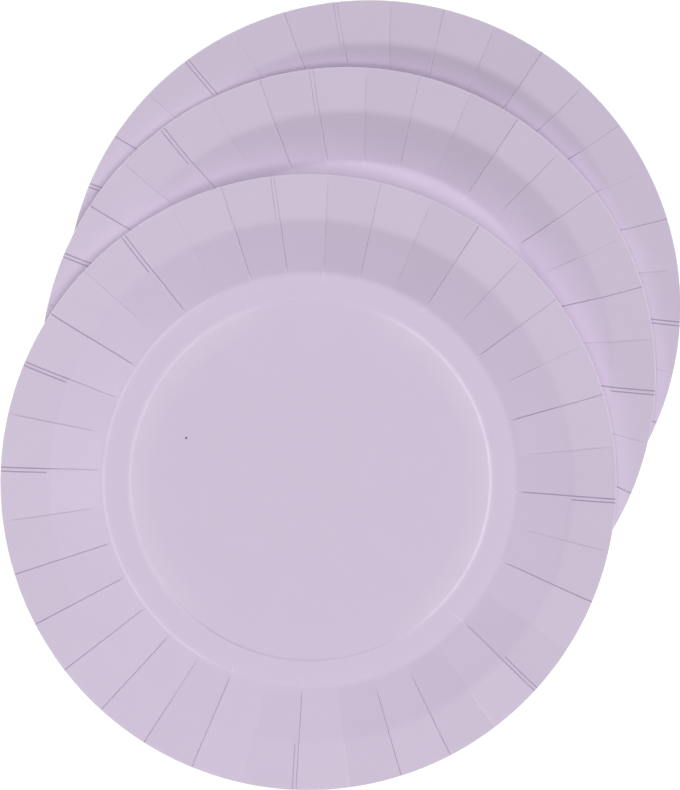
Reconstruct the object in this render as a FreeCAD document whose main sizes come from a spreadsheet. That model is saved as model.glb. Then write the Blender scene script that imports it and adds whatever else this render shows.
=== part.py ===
"""A staggered stack of three round paper plates.

Each plate is one sheet of lilac board, cut round, scored along 36 radial lines and pressed in a
die. The pressing leaves a centre disc lifted inside a standing ring, a sloped wall and a broad
rim, and gathers the spare edge into 36 narrow pleats. Between two pleats the board stays flat
across, so the wall and the rim are rings of 36 flat panels inside a round cut edge. At a pleat
the board dips into a fold: a fine groove on the upper side over a low ridge underneath. Every
pleat is deepest on the rim and fades out at the foot of the wall.
The lowest plate lies flat. Each plate above it is set forward and leans back: its foot stands on
the shoulder of the plate below in front, and on that plate's centre disc at the back.

Frame: +Z is up, the table is z = 0, and the plates are set forward along -Y. The origin is the
centre of the lowest plate, on the table. Lengths are in millimetres and angles in degrees.
"""

import FreeCAD, Part
import math
import os
import Sketcher

DIMENSIONS = {
    "plate_diameter": 225.0,
    "plate_height": 15.0,
    "board_thickness": 0.5,
    "disc_radius": 65.2,
    "disc_lift": 0.5,
    "disc_slope_width": 1.4,
    "ring_middle": 70.0,
    "foot_radius": 76.0,
    "foot_bend": 2.4,
    "shoulder_radius": 95.9,
    "shoulder_bend": 3.6,
    "rim_slope": 8.9,
    "pleat_count": 36,
    "pleat_turn": 6.7,
    "pleat_width": 1.2,
    "pleat_depth": 0.3,
    "rim_overhang": 1.0,
    "stagger_middle": 27.5,
    "stagger_top": 43.0,
    "seat_gap": 0.2,
}

FOLLOWING = {
    "edge_radius": "=plate_diameter / 2",
    "disc_edge": "=disc_radius + disc_slope_width",
    "half_panel": "=180 / pleat_count",
    "half_pleat": "=asin(pleat_width / 2 / edge_radius) / 1 deg",
    "flat_reach": "=1 / cos((half_panel - half_pleat) * 1 deg)",
    "rim_reach": "=edge_radius * flat_reach",
    "rim_tangent": "=tan(rim_slope * 1 deg)",
    "rim_cosine": "=cos(rim_slope * 1 deg)",
    "rim_rise": "=(rim_reach - shoulder_radius) * rim_tangent",
    "shoulder_height": "=plate_height - board_thickness / rim_cosine - rim_rise",
    "wall_tangent": "=shoulder_height / (shoulder_radius - foot_radius)",
    "foot_inner": "=foot_radius - foot_bend / 2",
    "foot_outer": "=foot_radius + foot_bend / 2",
    "foot_outer_height": "=wall_tangent * foot_bend / 2",
    "bend_inner": "=shoulder_radius - shoulder_bend / 2",
    "bend_inner_height": "=shoulder_height - wall_tangent * shoulder_bend / 2",
    "bend_outer": "=shoulder_radius + shoulder_bend / 2",
    "bend_outer_height": "=shoulder_height + rim_tangent * shoulder_bend / 2",
    "end_radius": "=rim_reach + rim_overhang",
    "end_height": "=shoulder_height + rim_rise + rim_tangent * rim_overhang",
    "foot_slope": "=foot_outer_height / foot_bend",
    "fold_spread": "=1 / cos(half_panel * 1 deg) / flat_reach",
    "fold_foot_inner": "=foot_inner * fold_spread",
    "fold_foot_outer": "=foot_outer * fold_spread",
    "fold_foot_slope": "=foot_slope / fold_spread",
    "foot_stretch": "=sqrt((1 + foot_slope ^ 2) / (1 + fold_foot_slope ^ 2))",
    "fold_foot_thickness": "=board_thickness * foot_stretch",
    "fold_share": "=pleat_depth / end_radius",
    "fold_inner_height": "=bend_inner_height - fold_share * bend_inner",
    "fold_outer_height": "=bend_outer_height - fold_share * bend_outer",
    "fold_end_height": "=end_height - pleat_depth",
    "fold_rim_slope": "=rim_tangent - fold_share",
    "fold_rim_thickness": "=board_thickness / rim_cosine / sqrt(1 + fold_rim_slope ^ 2)",
}

DISC = (
    (None, "disc_lift", "board_thickness"),
    ("disc_radius", "disc_lift", "board_thickness"),
    ("disc_edge", None, "board_thickness"),
    ("ring_middle", None, None),
)
PANEL = (
    ("ring_middle", None, "board_thickness"),
    ("foot_inner", None, "board_thickness"),
    ("foot_outer", "foot_outer_height", "board_thickness"),
    ("bend_inner", "bend_inner_height", "board_thickness"),
    ("bend_outer", "bend_outer_height", "board_thickness"),
    ("end_radius", "end_height", None),
)
FOLD = (
    ("ring_middle", None, "board_thickness"),
    ("fold_foot_inner", None, "fold_foot_thickness"),
    ("fold_foot_outer", "foot_outer_height", "board_thickness"),
    ("bend_inner", "fold_inner_height", "board_thickness"),
    ("bend_outer", "fold_outer_height", "fold_rim_thickness"),
    ("end_radius", "fold_end_height", None),
)

PLATES = ("plate_bottom", "plate_middle", "plate_top")

LEAN_LIMIT = 40.0
LEAN_STEPS = 40
CONTACT_RINGS = 60
CONTACT_STEP = 1
FLATNESS = 1e-5


def fill_sheet(doc):
    """Writes the driving dimensions and those that follow from them, one named cell each."""
    sheet = doc.addObject("Spreadsheet::Sheet", "dims")
    driving = {name: repr(value) for name, value in DIMENSIONS.items()}
    for row, (name, content) in enumerate({**driving, **FOLLOWING}.items(), start=1):
        sheet.set(f"A{row}", name)
        sheet.set(f"B{row}", content)
        sheet.setAlias(f"B{row}", name)
    doc.recompute()
    return sheet


def corners_of(sheet, underside):
    """The corners of an underside, with radius and height as numbers."""
    return [
        tuple(getattr(sheet, name) if name else 0.0 for name in (radius, height))
        for radius, height, thickness in underside
    ]


def offset_path(path, distance):
    """The corners of a path moved up by the board's thickness, square to each stretch. Its two
    ends move straight up, so that they stay at their radius."""
    normals = []
    for start, end in zip(path, path[1:]):
        run, rise = end[0] - start[0], end[1] - start[1]
        length = math.hypot(run, rise)
        normals.append((-rise / length, run / length))
    moved = [(path[0][0], path[0][1] + distance / normals[0][1])]
    for corner, first, second in zip(path[1:], normals, normals[1:]):
        spread = 1 + first[0] * second[0] + first[1] * second[1]
        across = (first[0] + second[0]) / spread
        up = (first[1] + second[1]) / spread
        moved.append((corner[0] + distance * across, corner[1] + distance * up))
    moved.append((path[-1][0], path[-1][1] + distance / normals[-1][1]))
    return moved


class Surface:
    """One side of a plate that stands on its own base plane, as heights over places on it."""

    def __init__(self, sheet, thickness, fold):
        underside = corners_of(sheet, DISC[:-1] + PANEL[1:])
        self.path = offset_path(underside, thickness)
        self.edge = sheet.edge_radius
        self.half_panel = math.radians(sheet.half_panel)
        self.reach = sheet.flat_reach
        self.turn = math.radians(sheet.pleat_turn) - self.half_panel
        self.fold = fold
        self.fold_start, self.fold_full = sheet.foot_outer, sheet.bend_inner

    def height(self, across, along):
        """The height at a place. Where the board's panels are flat, a place midway between two
        pleats lies as high as one further out on a pleat."""
        radius = math.hypot(across, along)
        if radius > self.path[3][0]:
            panel = 2 * self.half_panel
            beside = (math.atan2(along, across) - self.turn) % panel
            beside = min(beside, panel - beside)
            radius *= math.cos(beside) * self.reach
        share = (radius - self.fold_start) / (self.fold_full - self.fold_start)
        dip = self.fold * min(1.0, max(0.0, share))
        for start, end in zip(self.path, self.path[1:]):
            if radius <= end[0]:
                share = (radius - start[0]) / (end[0] - start[0])
                return start[1] + share * (end[1] - start[1]) - dip
        return self.path[-1][1] - dip


def contact_points(surface, start):
    """Places on a plate's underside from its standing ring to its edge, on one half of it."""
    points = []
    for ring in range(CONTACT_RINGS + 1):
        radius = start + (surface.edge - start) * ring / CONTACT_RINGS
        for angle in range(-90, 91, CONTACT_STEP):
            turn = math.radians(angle)
            across, along = radius * math.cos(turn), radius * math.sin(turn)
            points.append((across, along, surface.height(across, along)))
    return points


def clearance(points, below, lean, stagger):
    """Least height of the leaning plate over the one below, at its back and at its front."""
    cosine, sine = math.cos(lean), math.sin(lean)
    back, front = math.inf, math.inf
    for across, along, up in points:
        placed = along * cosine + up * sine - stagger
        if math.hypot(across, placed) > below.edge:
            continue
        gap = up * cosine - along * sine - below.height(across, placed)
        if along > 0:
            back = min(back, gap)
        else:
            front = min(front, gap)
    return back, front


def seat_on_plate_below(sheet, stagger):
    """The step from one plate's place to the next one's: it leans until back and front both
    touch, and is then lifted by the gap that is left between plates. The ridges of its pleats
    are taken as if they ran all round."""
    underside = Surface(sheet, 0.0, sheet.pleat_depth)
    below = Surface(sheet, sheet.board_thickness, 0.0)
    points = contact_points(underside, sheet.disc_edge)
    low, high = 0.0, math.radians(LEAN_LIMIT)
    for _ in range(LEAN_STEPS):
        lean = (low + high) / 2
        back, front = clearance(points, below, lean, stagger)
        if front < back:
            low = lean
        else:
            high = lean
    lift = sheet.seat_gap - min(clearance(points, below, lean, stagger))
    return FreeCAD.Placement(
        FreeCAD.Vector(0, -stagger, lift),
        FreeCAD.Rotation(FreeCAD.Vector(1, 0, 0), -math.degrees(lean)),
    )


def start_of(geometry):
    return geometry, 1


def end_of(geometry):
    return geometry, 2


def horizontal_axis():
    return -1


def vertical_axis():
    return -2


def origin_feature(body, role):
    """One of the body's own origin planes or axes, such as XZ_Plane."""
    return next(item for item in body.Origin.OriginFeatures if item.Role == role)


def constrain(sketch, kind, *places):
    return sketch.addConstraint(Sketcher.Constraint(kind, *places))


def bind(sketch, kind, places, value, expression):
    """A constraint of that size, bound to an expression on the sheet."""
    index = constrain(sketch, kind, *places, value)
    sketch.setExpression(f"Constraints[{index}]", expression)


def lines_through(corners):
    return [
        Part.LineSegment(FreeCAD.Vector(*start, 0), FreeCAD.Vector(*end, 0))
        for start, end in zip(corners, corners[1:])
    ]


def join(sketch, lines):
    """Makes each line start where the one before it ends."""
    for first, second in zip(lines, lines[1:]):
        constrain(sketch, "Coincident", *end_of(first), *start_of(second))


def draw_section(body, name, underside, turn="0"):
    """A closed section of the board, on an upright plane through the plate's axis that is turned
    by an expression on the sheet. Its underside is placed corner by corner, and its upper side
    runs alongside, one thickness away."""
    sheet = body.Document.dims
    sketch = body.newObject("Sketcher::SketchObject", name)
    sketch.AttachmentSupport = [(origin_feature(body, "XZ_Plane"), "")]
    sketch.MapMode = "FlatFace"
    sketch.AttachmentOffset = FreeCAD.Placement(
        FreeCAD.Vector(0, 0, 0), FreeCAD.Rotation(FreeCAD.Vector(0, 1, 0), 1)
    )
    sketch.setExpression("AttachmentOffset.Rotation.Angle", turn)
    low_path = corners_of(sheet, underside)
    high_path = offset_path(low_path, sheet.board_thickness)
    under = sketch.addGeometry(lines_through(low_path))
    outside = sketch.addGeometry(lines_through([low_path[-1], high_path[-1]]))
    over = sketch.addGeometry(lines_through(high_path[::-1]))
    inside = sketch.addGeometry(lines_through([high_path[0], low_path[0]]))
    join(sketch, (*under, *outside, *over, *inside, under[0]))
    constrain(sketch, "Vertical", outside[0])
    constrain(sketch, "Vertical", inside[0])
    places = [start_of(under[0])] + [end_of(stretch) for stretch in under]
    origin = start_of(horizontal_axis())
    for place, corner, (across, up, thickness) in zip(places, low_path, underside):
        if across:
            bind(sketch, "DistanceX", (*origin, *place), corner[0], f"dims.{across}")
        else:
            constrain(sketch, "PointOnObject", *place, vertical_axis())
        if up:
            bind(sketch, "DistanceY", (*origin, *place), corner[1], f"dims.{up}")
        else:
            constrain(sketch, "PointOnObject", *place, horizontal_axis())
    for low, high, (across, up, thickness) in zip(under, over[::-1], underside):
        constrain(sketch, "Parallel", low, high)
        reach = (*start_of(low), high)
        bind(sketch, "Distance", reach, getattr(sheet, thickness), f"dims.{thickness}")
    return sketch


def turn_disc(body):
    """The lifted disc and the inner part of the standing ring, turned about the plate's axis."""
    disc = body.newObject("PartDesign::Revolution", "disc")
    disc.Profile = draw_section(body, "disc_section", DISC)
    disc.ReferenceAxis = (origin_feature(body, "Z_Axis"), [""])
    disc.Angle = 360
    return disc


def fold_panel(body):
    """One flat panel with half a pleat on each side, ruled through four sections. The outer two
    run down the folds, and the inner two run beside them."""
    beside, half = "dims.half_panel - dims.half_pleat", "dims.half_panel"
    sections = [
        draw_section(body, "fold_before", FOLD, f"-({half}) * 1 deg"),
        draw_section(body, "panel_start", PANEL, f"-({beside}) * 1 deg"),
        draw_section(body, "panel_end", PANEL, f"({beside}) * 1 deg"),
        draw_section(body, "fold_after", FOLD, f"({half}) * 1 deg"),
    ]
    panel = body.newObject("PartDesign::AdditiveLoft", "panel")
    panel.Profile = sections[0]
    panel.Sections = sections[1:]
    panel.Ruled = True
    return panel


def flat_faces(face):
    """A ruled face rebuilt from its straight edges: as one flat face, or as two where it twists."""
    points = [vertex.Point for vertex in face.OuterWire.OrderedVertexes]
    outlines = [points]
    if len(points) == 4:
        square = (points[1] - points[0]).cross(points[2] - points[0]).normalize()
        if abs(square.dot(points[3] - points[0])) > FLATNESS:
            outlines = [points[:3], [points[0], *points[2:]]]
    return [Part.Face(Part.makePolygon([*outline, outline[0]])) for outline in outlines]


def flatten(shape):
    """The same solid with flat faces."""
    shell = Part.makeShell([flat for face in shape.Faces for flat in flat_faces(face)])
    shell.sewShape()
    solid = Part.makeSolid(shell)
    if solid.Volume < 0:
        solid.reverse()
    return solid


def make_pattern_plate(doc):
    """The pressed plate that the stack repeats: its disc, the ring of panels and pleats round it,
    and the round cut edge, because flat panels end in straight edges."""
    sheet = doc.dims
    centre = doc.addObject("PartDesign::Body", "lifted_disc")
    turn_disc(centre)
    sector = doc.addObject("PartDesign::Body", "pleated_panel")
    fold_panel(sector)
    doc.recompute()
    panel = flatten(sector.Shape)
    ring = []
    for index in range(int(sheet.pleat_count)):
        copy = panel.copy()
        copy.rotate(FreeCAD.Vector(0, 0, 0), FreeCAD.Vector(0, 0, 1), 2 * index * sheet.half_panel)
        ring.append(copy)
    blank = Part.makeCylinder(sheet.edge_radius, 2 * sheet.plate_height)
    return centre.Shape.multiFuse(ring).common(blank).removeSplitter()


def place_plate(doc, name, shape, placement):
    """One plate of the stack."""
    plate = doc.addObject("Part::Feature", name)
    plate.Label = name
    plate.Shape = shape
    plate.Placement = placement
    return plate


def check_document(doc):
    """Stops if a feature failed, because a recompute doesn't raise by itself."""
    failed = [item.Name for item in doc.Objects if {"Invalid", "Error"} & set(item.State)]
    if failed:
        raise RuntimeError(f"these objects failed: {failed}")


def main():
    doc = FreeCAD.newDocument("paper_plates")
    sheet = fill_sheet(doc)
    place = FreeCAD.Placement()
    places = [place]
    for stagger in (sheet.stagger_middle, sheet.stagger_top):
        place = place.multiply(seat_on_plate_below(sheet, stagger))
        places.append(place)
    pattern = make_pattern_plate(doc)
    turn = FreeCAD.Placement(
        FreeCAD.Vector(0, 0, 0),
        FreeCAD.Rotation(FreeCAD.Vector(0, 0, 1), sheet.pleat_turn - sheet.half_panel),
    )
    plates = [
        place_plate(doc, name, pattern, place.multiply(turn)) for name, place in zip(PLATES, places)
    ]
    doc.recompute()
    check_document(doc)
    for plate in plates:
        if plate.Shape.isNull() or not plate.Shape.isValid() or len(plate.Shape.Solids) != 1:
            raise RuntimeError(f"{plate.Label} isn't one valid solid")
    os.makedirs("parts", exist_ok=True)
    for plate, place in zip(plates, places):
        plate.Shape.exportStep(f"parts/{plate.Label}.step")
        lean = -place.Rotation.toEuler()[2]
        print(f"{plate.Label}: {plate.Shape.Volume:.0f} mm3, {len(plate.Shape.Faces)} faces,")
        print(f"  centre at y {place.Base.y:.3f}, z {place.Base.z:.3f}, leaning back {lean:.3f} degrees")


main()
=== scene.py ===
# %% [markdown]
# # A staggered stack of three paper plates
# Each plate is one sheet of lilac board. A die presses it: the centre is lifted inside a standing
# ring, the wall slopes up to a broad rim, and the spare edge is gathered into 36 narrow pleats.
# This notebook models one such plate carefully, then stands it three times where the CAD frame
# has its plates.
#
# The first cell loads that frame and prints the box of each of its parts, which the plates are
# held against later. Nothing may stand out of it later.

import math
import random

import bmesh
import bpy
import numpy as np
from mathutils import Matrix, Vector


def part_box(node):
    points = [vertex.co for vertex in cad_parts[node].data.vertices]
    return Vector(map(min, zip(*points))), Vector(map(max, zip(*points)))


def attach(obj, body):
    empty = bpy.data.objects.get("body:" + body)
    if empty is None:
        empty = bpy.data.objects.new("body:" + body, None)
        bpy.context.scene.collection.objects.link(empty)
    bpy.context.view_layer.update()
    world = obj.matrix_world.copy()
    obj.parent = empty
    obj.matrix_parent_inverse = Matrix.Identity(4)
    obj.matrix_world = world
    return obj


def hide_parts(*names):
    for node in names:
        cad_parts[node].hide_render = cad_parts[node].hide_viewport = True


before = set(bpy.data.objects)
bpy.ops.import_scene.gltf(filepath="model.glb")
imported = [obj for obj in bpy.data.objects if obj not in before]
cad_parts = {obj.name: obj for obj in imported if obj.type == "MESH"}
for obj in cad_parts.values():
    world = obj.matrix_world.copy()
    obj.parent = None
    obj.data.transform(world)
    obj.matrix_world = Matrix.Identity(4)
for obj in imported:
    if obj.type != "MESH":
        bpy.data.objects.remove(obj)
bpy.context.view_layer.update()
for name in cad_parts:
    low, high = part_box(name)
    print(f"{name}: {[round(v * 1000, 1) for v in low]} to {[round(v * 1000, 1) for v in high]} mm")

# %% [markdown]
# The sizes of a plate, in metres. They are the ones the CAD model uses, with two additions: real
# board bends over a small radius at the foot of the wall and at the shoulder, where the CAD model
# has a narrow straight facet, and the step round the disc is a little steeper.

# %% The plate's sizes
MM = 0.001
PLATE_RADIUS = 112.5 * MM
PLATE_HEIGHT = 15 * MM
BOARD = 0.5 * MM
DISC_RADIUS = 65.4 * MM
DISC_LIFT = 0.5 * MM
DISC_SLOPE = 0.8 * MM
DISC_BEND = 0.9 * MM
FOOT_RADIUS = 76 * MM
SHOULDER_RADIUS = 95.9 * MM
RIM_SLOPE = math.radians(8.9)
FOOT_BEND = 4.5 * MM
SHOULDER_BEND = 9 * MM
BARE_EDGE = 0.3 * MM
EDGE_INSET = 0.14 * MM
PLEATS = 36
PLEAT_TURN = math.radians(6.7)

# %% [markdown]
# Where each plate stands, as the CAD model has it: how far it is set forward along -Y, how high
# its centre is lifted, and how far it leans back. The lowest plate lies flat on the table.

# %% Where the plates stand
STANDS = {
    "plate_bottom": {"forward": 0 * MM, "lift": 0 * MM, "lean": 0.0},
    "plate_middle": {"forward": 27.5 * MM, "lift": 7.703 * MM, "lean": math.radians(5.024)},
    "plate_top": {"forward": 69.471 * MM, "lift": 21.293 * MM, "lean": math.radians(11.713)},
}


def stand_matrix(stand):
    """Takes a plate from the origin to its place in the stack."""
    place = Matrix.Translation((0, -stand["forward"], stand["lift"]))
    return place @ Matrix.Rotation(-stand["lean"], 4, "X")


# %% [markdown]
# The camera comes first, because everything else is set up to be seen through it, as in the
# photograph. The three rims have the same size in the picture, as they would from far away, so the
# camera stands 8 metres off with a long lens. It looks squarely at the top plate. The stack runs up
# and to the right there, so the camera is rolled by about 20 degrees.

# %% The camera
PICTURE = (680, 790)
TOP_CENTRE_PIXEL = (308.4, 482.1)
RIM_RADIUS_PIXELS = 308.3
STACK_HEADING = math.radians(19.93)
CAMERA_DISTANCE = 8.0
SENSOR = 36.0

metres_per_pixel = PLATE_RADIUS / RIM_RADIUS_PIXELS
top_stand = stand_matrix(STANDS["plate_top"])
towards_camera = (top_stand.to_3x3() @ Vector((0, 0, 1))).normalized()
along_stack = (top_stand.to_3x3() @ Vector((0, 1, 0))).normalized()
across_stack = along_stack.cross(towards_camera)
image_up = math.cos(STACK_HEADING) * along_stack - math.sin(STACK_HEADING) * across_stack
image_right = math.sin(STACK_HEADING) * along_stack + math.cos(STACK_HEADING) * across_stack
rim_centre = top_stand @ Vector((0, 0, PLATE_HEIGHT))


def place_at_pixel(column, row):
    """The place on the top plate's rim plane that the camera shows at a pixel."""
    across = (column - TOP_CENTRE_PIXEL[0]) * metres_per_pixel
    up = (TOP_CENTRE_PIXEL[1] - row) * metres_per_pixel
    return rim_centre + image_right * across + image_up * up


aim = place_at_pixel(PICTURE[0] / 2, PICTURE[1] / 2)
camera_data = bpy.data.cameras.new("photo_camera")
camera_data.sensor_width = SENSOR
camera_data.lens = SENSOR * CAMERA_DISTANCE / (max(PICTURE) * metres_per_pixel)
camera_data.clip_end = 30
camera = bpy.data.objects.new("photo_camera", camera_data)
camera_turn = Matrix((image_right, image_up, towards_camera)).transposed().to_4x4()
camera.matrix_world = Matrix.Translation(aim + towards_camera * CAMERA_DISTANCE) @ camera_turn
bpy.context.scene.collection.objects.link(camera)
bpy.context.scene.camera = camera
print(f"one pixel is {metres_per_pixel / MM:.4f} mm, and the lens is {camera_data.lens:.0f} mm")

# %% [markdown]
# Some small helpers. Most operators act on whatever is selected, and the CAD nodes are selected
# after loading, so each step starts by deselecting everything.

# %% Selecting
def only(obj):
    """Makes this object the only selected one, and the active one."""
    if bpy.context.object and bpy.context.object.mode != "OBJECT":
        bpy.ops.object.mode_set(mode="OBJECT")
    bpy.ops.object.select_all(action="DESELECT")
    obj.select_set(True)
    bpy.context.view_layer.objects.active = obj


def edit(obj, kind):
    """Opens this object in edit mode with nothing selected."""
    only(obj)
    bpy.ops.object.mode_set(mode="EDIT")
    bpy.ops.mesh.select_mode(type=kind)
    bpy.ops.mesh.select_all(action="DESELECT")
    return bmesh.from_edit_mesh(obj.data)


def show_selection(obj, mesh):
    """Makes what was selected in code the selection that the next operator sees."""
    mesh.select_flush_mode()
    bmesh.update_edit_mesh(obj.data)


def measure(obj):
    """Prints how large a piece is and how many faces it has."""
    size = [round(side / MM, 2) for side in obj.dimensions]
    print(f"{obj.name}: {size} mm, {len(obj.data.polygons)} faces")


# %% [markdown]
# A section through the plate's upper side is a path of straight stretches and round bends. This
# cell works out where its corners would be if the bends were sharp.

# %% The section's corners
rim_tangent = math.tan(RIM_SLOPE)
shoulder_under = PLATE_HEIGHT - BOARD / math.cos(RIM_SLOPE)
shoulder_under -= (PLATE_RADIUS - SHOULDER_RADIUS) * rim_tangent
WALL_SLOPE = math.atan2(shoulder_under, SHOULDER_RADIUS - FOOT_RADIUS)
foot_corner = (FOOT_RADIUS - BOARD * math.tan(WALL_SLOPE / 2), BOARD)
middle_slope = (WALL_SLOPE + RIM_SLOPE) / 2
mitre = BOARD / math.cos((WALL_SLOPE - RIM_SLOPE) / 2)
shoulder_corner = (
    SHOULDER_RADIUS - mitre * math.sin(middle_slope),
    shoulder_under + mitre * math.cos(middle_slope),
)
print(f"the wall slopes {math.degrees(WALL_SLOPE):.1f} degrees")

# %% [markdown]
# Now the path itself, as radii and heights: close together in the bends, further apart on the
# straight stretches. The last 0.3 mm before the cut edge gets a ring of its own, because the
# print flakes off there and the white board shows. The edge is cut square to the sloping rim, so
# its upper corner stands a little further in than its lower one.

# %% The plate's section
def bend(corner, slope_in, slope_out, radius, steps):
    """Points of a round bend that takes the place of a corner between two slopes."""
    reach = radius * math.tan(abs(slope_out - slope_in) / 2)
    start = (corner[0] - reach * math.cos(slope_in), corner[1] - reach * math.sin(slope_in))
    side = 1 if slope_out > slope_in else -1
    middle_x = start[0] - side * radius * math.sin(slope_in)
    middle_y = start[1] + side * radius * math.cos(slope_in)
    points = []
    for step in range(steps + 1):
        slope = slope_in + (slope_out - slope_in) * step / steps
        across, up = side * radius * math.sin(slope), side * radius * math.cos(slope)
        points.append((middle_x + across, middle_y - up))
    return points


def straight(start, end, steps):
    """Points between two places, without the places themselves."""
    shares = [step / steps for step in range(1, steps)]
    return [tuple(a + (b - a) * share for a, b in zip(start, end)) for share in shares]


def section_path():
    """The upper side's radii and heights, from the middle of the disc to the cut edge."""
    disc_top = BOARD + DISC_LIFT
    slope = math.atan2(-DISC_LIFT, DISC_SLOPE)
    disc_bend = bend((DISC_RADIUS, disc_top), 0, slope, DISC_BEND, 4)
    ring_bend = bend((DISC_RADIUS + DISC_SLOPE, BOARD), slope, 0, DISC_BEND, 4)
    foot = bend(foot_corner, 0, WALL_SLOPE, FOOT_BEND, 8)
    shoulder = bend(shoulder_corner, WALL_SLOPE, RIM_SLOPE, SHOULDER_BEND, 8)
    edge = (PLATE_RADIUS - EDGE_INSET, PLATE_HEIGHT - EDGE_INSET * rim_tangent)
    bare = (edge[0] - BARE_EDGE, edge[1] - BARE_EDGE * rim_tangent)
    path = straight((0, disc_top), disc_bend[0], 8)
    path += disc_bend + ring_bend
    path += straight(ring_bend[-1], foot[0], 8) + foot
    path += straight(foot[-1], shoulder[0], 9) + shoulder
    path += straight(shoulder[-1], bare, 8) + [bare, edge]
    return path


SECTION = section_path()
RADII, HEIGHTS = zip(*SECTION)
print(f"{len(SECTION)} rings from {RADII[0] / MM:.1f} to {RADII[-1] / MM:.1f} mm")

# %% [markdown]
# The plate starts as a circle, which is extruded ring by ring out to the cut edge: each new ring
# is scaled up and lifted to the next point of the section. A spin of the section would give the
# same shape, but growing it outwards keeps the rings in order, which helps when the pleats are
# picked out later. The number of corners is a multiple of 36, so that every pleat has its line.

# %% Grow the board from a circle
COLUMNS = PLEATS * 6


def start_circle(name, radius):
    """A small flat disc of triangles, with a corner on every pleat's line."""
    bpy.ops.object.select_all(action="DESELECT")
    bpy.ops.mesh.primitive_circle_add(
        vertices=COLUMNS,
        radius=radius,
        fill_type="TRIFAN",
        location=(0, 0, 0),
        rotation=(0, 0, PLEAT_TURN),
    )
    board = bpy.context.object
    board.name = name
    bpy.ops.object.transform_apply(location=True, rotation=True, scale=True)
    return board


def grow_board(name):
    """The upper surface of one flat-lying plate, without its pleats, facing up."""
    board = start_circle(name, RADII[0])
    mesh = edit(board, "VERT")
    for vertex in mesh.verts:
        vertex.select = vertex.co.xy.length > RADII[0] / 2
    show_selection(board, mesh)
    for before, after in zip(SECTION, SECTION[1:]):
        grow = after[0] / before[0]
        bpy.ops.mesh.extrude_edges_move(
            TRANSFORM_OT_translate={"value": (0, 0, after[1] - before[1])}
        )
        bpy.ops.transform.resize(value=(grow, grow, 1), center_override=(0, 0, 0))
    bpy.ops.mesh.select_all(action="SELECT")
    bpy.ops.transform.translate(value=(0, 0, HEIGHTS[0]))
    bpy.ops.mesh.normals_make_consistent(inside=False)
    bpy.ops.object.mode_set(mode="OBJECT")
    if board.data.polygons[0].normal.z < 0:
        bpy.ops.object.mode_set(mode="EDIT")
        bpy.ops.mesh.flip_normals()
        bpy.ops.object.mode_set(mode="OBJECT")
    return board


plate = grow_board("pattern_plate")
measure(plate)

# %% [markdown]
# A pleat is a narrow fold, so it needs more lines across it than the board has. Bevelling the
# radial edges on the pleat lines splits each into twelve strips of equal width, all the way from
# just inside the foot to the cut edge.

# %% Add lines for the pleats
STRIP = 0.28 * MM
STRIPS = 12
PLEAT_LINES = [PLEAT_TURN + 2 * math.pi * pleat / PLEATS for pleat in range(PLEATS)]
LINE_START = FOOT_RADIUS - 6 * MM
SAME_ANGLE = 1e-4
SAME_LENGTH = 1e-6


def angle_to_pleat(x, y):
    """Which pleat line is nearest, and how far round from it a place is, in radians."""
    angle = math.atan2(y, x) - PLEAT_TURN
    step = 2 * math.pi / PLEATS
    nearest = round(angle / step)
    return nearest % PLEATS, angle - nearest * step


def add_pleat_lines(board):
    """Splits the radial edges on the pleat lines into narrow strips."""
    mesh = edit(board, "EDGE")
    for line in mesh.edges:
        ends = [vertex.co for vertex in line.verts]
        radii = sorted(end.xy.length for end in ends)
        on_line = all(abs(angle_to_pleat(end.x, end.y)[1]) < SAME_ANGLE for end in ends)
        outward = radii[1] > radii[0] + SAME_LENGTH
        line.select = on_line and outward and radii[0] > LINE_START
    show_selection(board, mesh)
    bpy.ops.mesh.bevel(
        offset_type="OFFSET",
        offset=STRIP * STRIPS / 2,
        segments=STRIPS,
        affect="EDGES",
        clamp_overlap=False,
    )
    bpy.ops.object.mode_set(mode="OBJECT")


add_pleat_lines(plate)
measure(plate)

# %% [markdown]
# No two pleats of a real plate are alike, because the board gathers where it likes. Each line
# below says how one of the 36 looks, going clockwise from the one nearest the picture's top: how
# deep it is on the rim, how deep on the wall, how far down the wall it reaches, and whether the
# rim has a second fold beside it, on its clockwise side, on its other side, or on neither.

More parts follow.
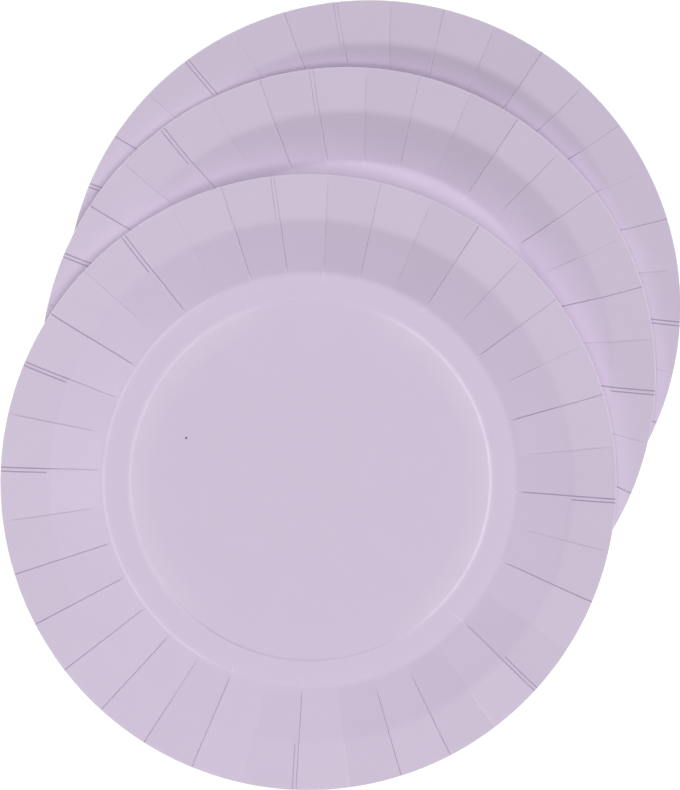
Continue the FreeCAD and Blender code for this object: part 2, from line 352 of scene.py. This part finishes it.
# %% How each pleat looks
NONE, TRACE, FAINT, MEDIUM, STRONG = 0.0, 0.12, 0.35, 0.65, 1.0
HALF, LOW, FOOT = 0.5, 0.78, 1.0
ALONE, BESIDE, BEFORE = 0, 1, -1
PLEAT_LOOKS = [
    (FAINT, FAINT, FOOT, ALONE),
    (MEDIUM, STRONG, FOOT, ALONE),
    (FAINT, FAINT, LOW, ALONE),
    (STRONG, STRONG, FOOT, ALONE),
    (MEDIUM, MEDIUM, LOW, ALONE),
    (MEDIUM, STRONG, FOOT, ALONE),
    (FAINT, MEDIUM, LOW, ALONE),
    (MEDIUM, STRONG, FOOT, ALONE),
    (FAINT, FAINT, LOW, ALONE),
    (STRONG, STRONG, FOOT, BESIDE),
    (FAINT, FAINT, LOW, ALONE),
    (STRONG, STRONG, FOOT, ALONE),
    (NONE, NONE, HALF, ALONE),
    (STRONG, STRONG, FOOT, BEFORE),
    (TRACE, TRACE, HALF, ALONE),
    (STRONG, STRONG, LOW, ALONE),
    (STRONG, STRONG, LOW, ALONE),
    (TRACE, NONE, HALF, ALONE),
    (STRONG, STRONG, FOOT, BESIDE),
    (TRACE, NONE, HALF, ALONE),
    (STRONG, STRONG, FOOT, ALONE),
    (STRONG, MEDIUM, FOOT, ALONE),
    (STRONG, STRONG, FOOT, ALONE),
    (STRONG, STRONG, FOOT, ALONE),
    (STRONG, STRONG, FOOT, ALONE),
    (STRONG, STRONG, FOOT, ALONE),
    (MEDIUM, MEDIUM, LOW, ALONE),
    (STRONG, MEDIUM, FOOT, BEFORE),
    (MEDIUM, MEDIUM, LOW, ALONE),
    (STRONG, MEDIUM, FOOT, BEFORE),
    (STRONG, STRONG, FOOT, ALONE),
    (NONE, NONE, HALF, ALONE),
    (STRONG, STRONG, FOOT, BEFORE),
    (TRACE, TRACE, HALF, ALONE),
    (MEDIUM, STRONG, FOOT, ALONE),
    (MEDIUM, STRONG, FOOT, BEFORE),
]
FIRST_PLEAT = 10
print(f"{sum(look[3] != ALONE for look in PLEAT_LOOKS)} of {len(PLEAT_LOOKS)} pleats are double")

# %% [markdown]
# How strongly the board is folded in at any place follows from those words. A pleat runs straight
# out from the middle of the plate, and its sides slope evenly down to its line. A weak one fades
# out a little before it comes to the cut edge.

# %% The depth of the folds
SECOND_FOLD = 5 * STRIP
RIM_LOOK = (SHOULDER_RADIUS - 6 * MM, SHOULDER_RADIUS + 2 * MM)
WEAK_END = (PLATE_RADIUS - 5 * MM, PLATE_RADIUS - 1 * MM)
INNER_END = (-1.5 * MM, 3 * MM)


def smooth(low, high, value):
    """Rises gently from 0 at low to 1 at high."""
    share = min(1.0, max(0.0, (value - low) / (high - low)))
    return share * share * (3 - 2 * share)


def pleat_at(x, y):
    """The number of the pleat nearest to a place, as the list of looks counts them."""
    return (FIRST_PLEAT - angle_to_pleat(x, y)[0]) % PLEATS


def across_pleat(x, y):
    """How far a place is from the nearest fold. A second fold begins at the shoulder."""
    radius = math.hypot(x, y)
    across = radius * math.sin(angle_to_pleat(x, y)[1])
    side = PLEAT_LOOKS[pleat_at(x, y)][3]
    if side == ALONE or radius < SHOULDER_RADIUS:
        return abs(across)
    return min(abs(across), abs(across + side * SECOND_FOLD))


def on_line_at(x, y):
    """1 on a fold's line, falling to 0 one strip away from it."""
    return max(0.0, 1 - across_pleat(x, y) / STRIP)


def fold_at(x, y):
    """How deep the board is folded in at this place, from 0 to 1."""
    radius = math.hypot(x, y)
    on_rim, on_wall, reach, _ = PLEAT_LOOKS[pleat_at(x, y)]
    strength = on_wall + (on_rim - on_wall) * smooth(*RIM_LOOK, radius)
    end = SHOULDER_RADIUS - reach * (SHOULDER_RADIUS - FOOT_RADIUS)
    strength *= smooth(end + INNER_END[0], end + INNER_END[1], radius)
    if max(on_rim, on_wall) < STRONG:
        strength *= 1 - smooth(*WEAK_END, radius)
    return strength * on_line_at(x, y)


for radius in (FOOT_RADIUS, SHOULDER_RADIUS, PLATE_RADIUS):
    places = [(radius * math.cos(turn), radius * math.sin(turn)) for turn in PLEAT_LINES]
    depths = [fold_at(x, y) for x, y in places]
    print(f"{radius / MM:.1f} mm out, a fold has {sum(depths) / PLEATS:.2f} of its full depth")


# %% [markdown]
# Between two pleats the board is nearly flat across, and no panel is quite level with its
# neighbours. The flat part is found from the section: a place beside a panel's middle lies as low
# as one a little further in. On top of that each panel is tipped by a small amount of its own.

# %% The flat, tipped panels
PANEL_DROP = 0.5 * MM
PANEL_TIP = 0.22 * MM
HALF_PANEL = math.pi / PLEATS
random.seed(36)
PANEL_TIPS = [random.uniform(-1, 1) for _ in range(PLEATS)]


def panel_at(x, y):
    """Which panel a place is on, and how far across it from -1 to 1."""
    nearest, turn = angle_to_pleat(x, y)
    across = abs(turn) / HALF_PANEL
    return (nearest, across - 1) if turn > 0 else ((nearest - 1) % PLEATS, 1 - across)


def panel_drop_at(x, y):
    """How far this place lies below the round section, as a share of PANEL_DROP."""
    radius = math.hypot(x, y)
    panel, across = panel_at(x, y)
    grown = smooth(FOOT_RADIUS, SHOULDER_RADIUS, radius)
    inner = radius * (1 - grown + grown * math.cos(across * HALF_PANEL))
    flat = np.interp(radius, RADII, HEIGHTS) - np.interp(inner, RADII, HEIGHTS)
    tipped = PANEL_TIP * (1 - PANEL_TIPS[panel] * across) / 2 * grown
    return float(flat + tipped) / PANEL_DROP


tip_range = [round(tip, 2) for tip in (min(PANEL_TIPS), max(PANEL_TIPS))]
print(f"the tips go from {tip_range[0]} to {tip_range[1]} of {PANEL_TIP / MM:.2f} mm")

# %% [markdown]
# A vertex group is a mask: it says how strongly each vertex takes part. One group holds the folds
# and another the panels, and two Displace modifiers lower the board by them.

# %% Lower the board by its masks
PLEAT_DEPTH = 0.26 * MM
PRESSED_FROM = FOOT_RADIUS - 2 * MM


def fill_group(board, name, weight_at):
    """A vertex group whose weights follow from each vertex's place."""
    group = board.vertex_groups.new(name=name)
    for vertex in board.data.vertices:
        if vertex.co.xy.length > PRESSED_FROM:
            group.add([vertex.index], weight_at(vertex.co.x, vertex.co.y), "REPLACE")
    return group


def lower(board, group, depth):
    """Lowers the board by a depth, as far as the group lets it."""
    modifier = board.modifiers.new(group.name, "DISPLACE")
    modifier.vertex_group = group.name
    modifier.direction = "Z"
    modifier.strength = -depth
    modifier.mid_level = 0
    only(board)
    bpy.ops.object.modifier_apply(modifier=modifier.name)


fold_group = fill_group(plate, "fold", fold_at)
panel_group = fill_group(plate, "panel", panel_drop_at)
lower(plate, panel_group, PANEL_DROP)
lower(plate, fold_group, PLEAT_DEPTH)
measure(plate)

# %% [markdown]
# The material has to know where the folds are too, because shade is painted into them. It also
# has to know where it is paler: the print is rubbed off at the cut edge, highlights are painted as
# pale lines along parts of the foot and the ring and along two pleats, and a pale knot is painted
# at the foot of most pleats. Every panel also took the print a little differently. Attributes on
# the mesh carry all this to the shader.

# %% Mark the folds, the wear and the painted highlights
KNOT_MM = 0.3
TICKS_MM = {0: 1.0, 3: 1.2, 13: 4.0, 20: 1.5, 24: 0.8, 32: 0.8, 34: 0.8}
# Pleats 14 and 17 show a pale line instead of a dark one: a painted highlight on a lit flank.
PALE_PLEATS = (14, 17)
PALE_START = (SHOULDER_RADIUS - 4 * MM, SHOULDER_RADIUS + 4 * MM)
# The foot and the ring get a pale line on one side of the plate only: painted highlights.
FOOT_HIGHLIGHT_SIDE = math.radians(-160)
RING_HIGHLIGHT_SIDES = (math.radians(25), math.radians(-172))
RING_MIDDLE = DISC_RADIUS + DISC_SLOPE / 2
EDGE_WORN, FOOT_HIGHLIGHT, RING_HIGHLIGHT, TICK_PALENESS, PALE_HIGHLIGHT = 0.6, 0.5, 0.7, 0.5, 0.6


def tick_at(x, y):
    """A pale knot at the foot of a pleat, which runs on as a tick past some of them. Two pleats
    get a pale line along the rim instead, a painted highlight.
    """
    radius = math.hypot(x, y)
    pleat = pleat_at(x, y)
    if pleat in PALE_PLEATS:
        return PALE_HIGHLIGHT * on_line_at(x, y) * smooth(*PALE_START, radius)
    if PLEAT_LOOKS[pleat][2] < FOOT or radius > FOOT_RADIUS + 1 * MM:
        return 0.0
    end = FOOT_RADIUS - TICKS_MM.get(pleat, KNOT_MM) * MM
    return TICK_PALENESS * on_line_at(x, y) * smooth(end - 1 * MM, end, radius)


def highlight_line(radius, middle, width, angle, side):
    """A painted highlight: a pale, slightly uneven line, plain on one side of the plate and fading
    out round it.
    """
    facing = smooth(0.3, 0.7, math.cos(angle - side))
    uneven = 0.85 + 0.15 * math.sin(23 * angle) * math.sin(9 * angle)
    return facing * uneven * max(0.0, 1 - abs(radius - middle) / width)


def wear_and_highlight_at(x, y):
    """How pale the print is here, from 0 to 1: rubbed off at the cut edge, with painted highlights
    along the foot, the ring and two pleats, and pale knots at the pleats' feet.
    """
    radius = math.hypot(x, y)
    edge = smooth(RADII[-2] + SAME_LENGTH, RADII[-1], radius)
    angle = math.atan2(y, x)
    foot = highlight_line(radius, FOOT_RADIUS - 0.4 * MM, 0.8 * MM, angle, FOOT_HIGHLIGHT_SIDE)
    rings = [highlight_line(radius, RING_MIDDLE, 0.9 * MM, angle, side) for side in RING_HIGHLIGHT_SIDES]
    return max(EDGE_WORN * edge, FOOT_HIGHLIGHT * foot, RING_HIGHLIGHT * max(rings), tick_at(x, y))


def mark(board, name, value_at):
    """Writes a value that follows from each vertex's place onto the mesh."""
    attribute = board.data.attributes.new(name, "FLOAT", "POINT")
    values = [value_at(vertex.co.x, vertex.co.y) for vertex in board.data.vertices]
    attribute.data.foreach_set("value", values)
    print(f"{name}: {sum(value > 0.01 for value in values)} of {len(values)} vertices")


def tone_at(x, y):
    """How pale this panel's print is, from 0 to 1, where 0.5 is the usual shade. It borrows a
    neighbour's random number, so that a panel's shade and its tip have nothing in common."""
    grown = smooth(FOOT_RADIUS - 1 * MM, FOOT_RADIUS + 3 * MM, math.hypot(x, y))
    return 0.5 + 0.5 * PANEL_TIPS[panel_at(x, y)[0] - 1] * grown


mark(plate, "folded", fold_at)
mark(plate, "wear_and_highlight", wear_and_highlight_at)
mark(plate, "tone", tone_at)

# %% [markdown]
# The blank didn't lie quite in the middle of the die. So the pressed form stands almost a
# millimetre off the middle of the cut edge, and the pleats lean by up to a degree. This comes
# last, because the masks above were worked out for an even plate.

# %% Press the board a little off centre
OFF_CENTRE = Vector((0.45 * MM, 0.75 * MM))
PLEAT_LEAN = (math.radians(0.25), math.radians(-0.7))


def press_off_centre(board):
    """Moves everything inside the cut edge off centre, and leans the pleats."""
    for vertex in board.data.vertices:
        radius, angle = vertex.co.xy.length, math.atan2(vertex.co.y, vertex.co.x)
        lean = PLEAT_LEAN[0] + PLEAT_LEAN[1] * math.sin(angle)
        turn = lean * smooth(LINE_START, FOOT_RADIUS, radius)
        shift = OFF_CENTRE * (1 - smooth(FOOT_RADIUS, PLATE_RADIUS, radius))
        vertex.co.x = radius * math.cos(angle + turn) + shift.x
        vertex.co.y = radius * math.sin(angle + turn) + shift.y


press_off_centre(plate)
print(f"the form stands {OFF_CENTRE.length / MM:.2f} mm off centre")

# %% [markdown]
# Materials are networks of nodes. Writing their sums as Python expressions keeps them readable:
# this small class wraps a node's output socket, and adding or multiplying wrapped sockets adds
# the matching Math nodes.

# %% Write shader sums as expressions
class Socket:
    """A node's output that can be used in sums."""

    def __init__(self, network, output):
        self.network, self.output = network, output

    def math(self, operation, other):
        """The output of a Math node that works on this output and another value."""
        settings = {"operation": operation}
        return self.network.node("ShaderNodeMath", settings, {0: self, 1: other})

    def __add__(self, other):
        return self.math("ADD", other)

    def __sub__(self, other):
        return self.math("SUBTRACT", other)

    def __mul__(self, other):
        return self.math("MULTIPLY", other)


# %% [markdown]
# A second class holds the network of one material, or of the sky. Every new node comes from its
# method node, which sets the node's own settings first and then fills or links its sockets.

# %% Add nodes one call at a time
class Network:
    """The nodes of a material or of the sky."""

    def __init__(self, owner):
        owner.use_nodes = True
        self.owner = owner
        self.nodes = owner.node_tree.nodes
        self.links = owner.node_tree.links

    def feed(self, socket, value):
        """Links an output to a socket, or sets the socket to a plain value."""
        if isinstance(value, Socket):
            self.links.new(value.output, socket)
        else:
            socket.default_value = value

    def node(self, kind, settings, inputs, output=0):
        """Adds a node of any type and returns one of its outputs."""
        node = self.nodes.new(kind)
        for name, value in settings.items():
            setattr(node, name, value)
        for key, value in inputs.items():
            self.feed(node.inputs[key], value)
        return Socket(self, node.outputs[output])

    def blend(self, share, first, second):
        """A colour between two, by a share from 0 to 1."""
        settings = {"data_type": "RGBA"}
        return self.node("ShaderNodeMix", settings, {0: share, 6: first, 7: second}, 2)

    def fill(self, node_name, **inputs):
        """Fills the sockets of a node that is already there."""
        for name, value in inputs.items():
            self.feed(self.nodes[node_name].inputs[name.replace("_", " ")], value)


def new_finish(name):
    """The network of a new material."""
    return Network(bpy.data.materials.new(name))


def linear(red, green, blue):
    """A colour given as it looks on screen, from 0 to 255, as the shader needs it."""
    shares = [value / 255 for value in (red, green, blue)]
    return (*[s / 12.92 if s < 0.04045 else ((s + 0.055) / 1.055) ** 2.4 for s in shares], 1)


# %% [markdown]
# The lilac face is printed board: matt, with a very fine tooth and a faint cloudiness where the
# fibres took the colour unevenly. As the attributes say, shade is painted into the folds to darken
# them, and the face is paler where the print is rubbed off at the cut edge, along painted
# highlights on the foot, the ring and two pleats, and at pale knots by the pleats. One dark speck
# of dirt sits on the top plate's disc.

# %% The lilac face
FACE_DARK, FACE_LIGHT = linear(205, 192, 214), linear(209, 196, 218)
# Painted shade colour for the folds, and a pale colour for rubbed print and painted highlights.
FOLD_SHADE_COLOR, WEAR_AND_HIGHLIGHT_COLOR = linear(128, 114, 140), linear(240, 234, 243)
FOLD_SHADE_SHARE, WEAR_AND_HIGHLIGHT_SHARE = 0.7, 0.7
DIRT_COLOR, DIRT_SHARE = linear(70, 60, 70), 0.8
SPECK_PIXEL = (186, 438)
SPECK_RADIUS = 0.45 * MM
UNEVEN = 0.6
disc_depth = PLATE_HEIGHT - BOARD - DISC_LIFT
speck = place_at_pixel(*SPECK_PIXEL) - towards_camera * disc_depth


def lilac_face():
    """The printed upper side."""
    face = new_finish("lilac_face")
    place = face.node("ShaderNodeTexCoord", {}, {}, "Object")
    cloud = face.node("ShaderNodeTexNoise", {}, {"Vector": place, "Scale": 90.0, "Detail": 3.0})
    tooth = face.node("ShaderNodeTexNoise", {}, {"Vector": place, "Scale": 2600.0, "Detail": 2.0})
    fine = {"Vector": place, "Scale": 900.0, "Detail": 4.0, "Distortion": 1.5}
    fibres = face.node("ShaderNodeTexNoise", {}, fine)
    tone = face.node("ShaderNodeAttribute", {"attribute_name": "tone"}, {}, "Fac")
    shade = tone + (cloud - 0.5) * UNEVEN + (fibres - 0.5) * UNEVEN
    folded = face.node("ShaderNodeAttribute", {"attribute_name": "folded"}, {}, "Fac")
    wear_and_highlight = face.node("ShaderNodeAttribute", {"attribute_name": "wear_and_highlight"}, {}, "Fac")
    both = {0: place, 1: tuple(speck)}
    away = face.node("ShaderNodeVectorMath", {"operation": "DISTANCE"}, both, "Value")
    dirt = away.math("LESS_THAN", SPECK_RADIUS)
    color = face.blend(shade, FACE_DARK, FACE_LIGHT)
    # Painted shade: the deeper the fold, the darker its colour.
    color = face.blend(folded * FOLD_SHADE_SHARE, color, FOLD_SHADE_COLOR)
    # Paler where the print is rubbed off at the cut edge, and at the painted highlights and pale
    # knots.
    color = face.blend(wear_and_highlight * WEAR_AND_HIGHLIGHT_SHARE, color, WEAR_AND_HIGHLIGHT_COLOR)
    color = face.blend(dirt * DIRT_SHARE, color, DIRT_COLOR)
    relief = {"Strength": 0.12, "Distance": 0.1 * MM, "Height": tooth + fibres}
    bumps = face.node("ShaderNodeBump", {}, relief)
    face.fill("Principled BSDF", Base_Color=color, Normal=bumps, Roughness=0.7)
    face.fill("Principled BSDF", Specular_IOR_Level=0.25)
    return face.owner


# %% [markdown]
# Underneath and along its cut edge the board isn't printed. It is plain white, a touch warmer,
# and shows its fibres a little more.

# %% The white board
BARE_DARK, BARE_LIGHT = linear(226, 222, 222), linear(238, 235, 236)


def white_board():
    """The bare underside and cut edge."""
    bare = new_finish("white_board")
    place = bare.node("ShaderNodeTexCoord", {}, {}, "Object")
    coarse = {"Vector": place, "Scale": 700.0, "Detail": 5.0, "Distortion": 2.0}
    fibres = bare.node("ShaderNodeTexNoise", {}, coarse)
    color = bare.blend(fibres, BARE_DARK, BARE_LIGHT)
    relief = {"Strength": 0.15, "Distance": 0.1 * MM, "Height": fibres}
    bumps = bare.node("ShaderNodeBump", {}, relief)
    bare.fill("Principled BSDF", Base_Color=color, Normal=bumps, Roughness=0.85)
    return bare.owner


plate.data.materials.append(lilac_face())
plate.data.materials.append(white_board())
print([material.name for material in plate.data.materials])

# %% [markdown]
# So far the plate is a skin without thickness. Solidify gives it the board's half millimetre,
# downwards, and puts the second material on the underside and on the cut edge. Shading is smooth
# except across sharp corners such as those of the cut edge.

# %% Give the board its thickness
SHARP_ANGLE = math.radians(28)


def thicken(board):
    """Turns the skin into a sheet that is printed on one side."""
    modifier = board.modifiers.new("thickness", "SOLIDIFY")
    modifier.thickness = BOARD
    modifier.offset = -1
    modifier.use_even_offset = True
    modifier.material_offset = 1
    modifier.material_offset_rim = 1
    only(board)
    bpy.ops.object.modifier_apply(modifier=modifier.name)
    bpy.ops.object.shade_smooth_by_angle(angle=SHARP_ANGLE)


thicken(plate)
measure(plate)

# %% [markdown]
# The plate is finished once and copied, each copy with a mesh of its own. A copy is turned and
# moved to its stand, and that place is then written into its mesh, so that its object stays at
# the origin as the frame needs.

# %% Stand the three plates
def stand_plate(node, stand):
    """Copies the finished plate to its stand, in place of that node's solid."""
    only(plate)
    bpy.ops.object.duplicate(linked=False)
    piece = bpy.context.object
    piece.name = f"{node}_board"
    piece.matrix_world = stand_matrix(stand)
    bpy.ops.object.transform_apply(location=True, rotation=True, scale=True)
    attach(piece, "root")
    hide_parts(node)
    low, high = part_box(node)
    corners = np.array([vertex.co for vertex in piece.data.vertices])
    print(node, "differs from its solid by, in mm:")
    print("  low ", np.round((corners.min(axis=0) - np.array(low)) / MM, 2))
    print("  high", np.round((corners.max(axis=0) - np.array(high)) / MM, 2))


for node, stand in STANDS.items():
    stand_plate(node, stand)
bpy.data.objects.remove(plate)

# %% [markdown]
# The floor is plain and white. Only what the camera sees of it is brightened, so it looks pure
# white, as in the photograph, while the light on the plates stays as it is.

# %% The floor
FLOOR_SIZE = 8.0
FLOOR_DROP = 0.2 * MM
FLOOR_GRAY = (0.6, 0.6, 0.6, 1)
FLOOR_GLOW = 0.68
WHITE = (1, 1, 1, 1)


def seen_directly(network):
    """1 for what the camera sees, also in a reflection or through glass, and 0 for the light."""
    rays = ("Is Camera Ray", "Is Glossy Ray", "Is Transmission Ray")
    seen = [network.node("ShaderNodeLightPath", {}, {}, ray) for ray in rays]
    return seen[0].math("MAXIMUM", seen[1]).math("MAXIMUM", seen[2])


bpy.ops.object.select_all(action="DESELECT")
bpy.ops.mesh.primitive_plane_add(size=FLOOR_SIZE, location=(0, 0, -FLOOR_DROP))
floor = bpy.context.object
floor.name = "floor"
ground = new_finish("floor_white")
ground.fill("Principled BSDF", Base_Color=FLOOR_GRAY, Roughness=0.9, Specular_IOR_Level=0.0)
matt = Socket(ground, ground.nodes["Principled BSDF"].outputs[0])
glow = ground.node("ShaderNodeEmission", {}, {"Color": WHITE, "Strength": FLOOR_GLOW})
bright = ground.node("ShaderNodeAddShader", {}, {0: matt, 1: glow})
mixed = ground.node("ShaderNodeMixShader", {}, {0: seen_directly(ground), 1: matt, 2: bright})
ground.fill("Material Output", Surface=mixed)
floor.data.materials.append(ground.owner)
print(f"the floor is {floor.dimensions.x:.0f} m wide")

# %% [markdown]
# The photograph was lit softly from above, with a low light on either side that brings out the
# walls there and leaves those at the top and the bottom of the picture darker. The overhead lamp
# is large and casts the shadows. The two side lights only fill, as light from pale walls would, so
# they cast none. All stand far off, so that the three plates get the same light.

# %% The lamps
LAMP_DISTANCE = 4.0


def soft_lamp(name, azimuth, elevation, size, level, shadows):
    """A square lamp that faces the stack. Its azimuth is clockwise from the picture's top, and
    its level is how bright it alone makes a white card that faces it."""
    turn = math.radians(azimuth)
    sideways = math.cos(turn) * image_up + math.sin(turn) * image_right
    lift = math.radians(elevation)
    way = (math.cos(lift) * sideways + math.sin(lift) * towards_camera).normalized()
    across = (image_right - way * image_right.dot(way)).normalized()
    data = bpy.data.lights.new(name, "AREA")
    data.size = size
    data.energy = level * (math.pi * LAMP_DISTANCE) ** 2
    data.use_shadow = shadows
    lamp = bpy.data.objects.new(name, data)
    axes = Matrix((across, way.cross(across), way)).transposed().to_4x4()
    lamp.matrix_world = Matrix.Translation(rim_centre + way * LAMP_DISTANCE) @ axes
    lamp.visible_camera = False
    bpy.context.scene.collection.objects.link(lamp)
    print(f"{name}: {data.energy:.0f} W, {lamp.matrix_world.translation.z:.2f} m high")


soft_lamp("overhead_lamp", azimuth=130, elevation=80, size=3.0, level=0.575, shadows=True)
soft_lamp("right_light", azimuth=88, elevation=20, size=1.2, level=0.56, shadows=False)
soft_lamp("left_light", azimuth=286, elevation=23, size=1.2, level=0.52, shadows=False)

# %% [markdown]
# The sky fills in the shadows with a little plain light. The camera sees it white, as the floor.

# %% The sky
SKY_LEVEL = 0.09
world = bpy.data.worlds.new("sky")
bpy.context.scene.world = world
sky = Network(world)
sky.fill("Background", Color=WHITE, Strength=SKY_LEVEL)
dim = Socket(sky, sky.nodes["Background"].outputs[0])
white = sky.node("ShaderNodeBackground", {}, {"Color": WHITE, "Strength": 1.0})
sky_mix = sky.node("ShaderNodeMixShader", {}, {0: seen_directly(sky), 1: dim, 2: white})
sky.fill("World Output", Surface=sky_mix)
bpy.context.scene.view_settings.view_transform = "Standard"
print(f"the sky lights at {SKY_LEVEL}")
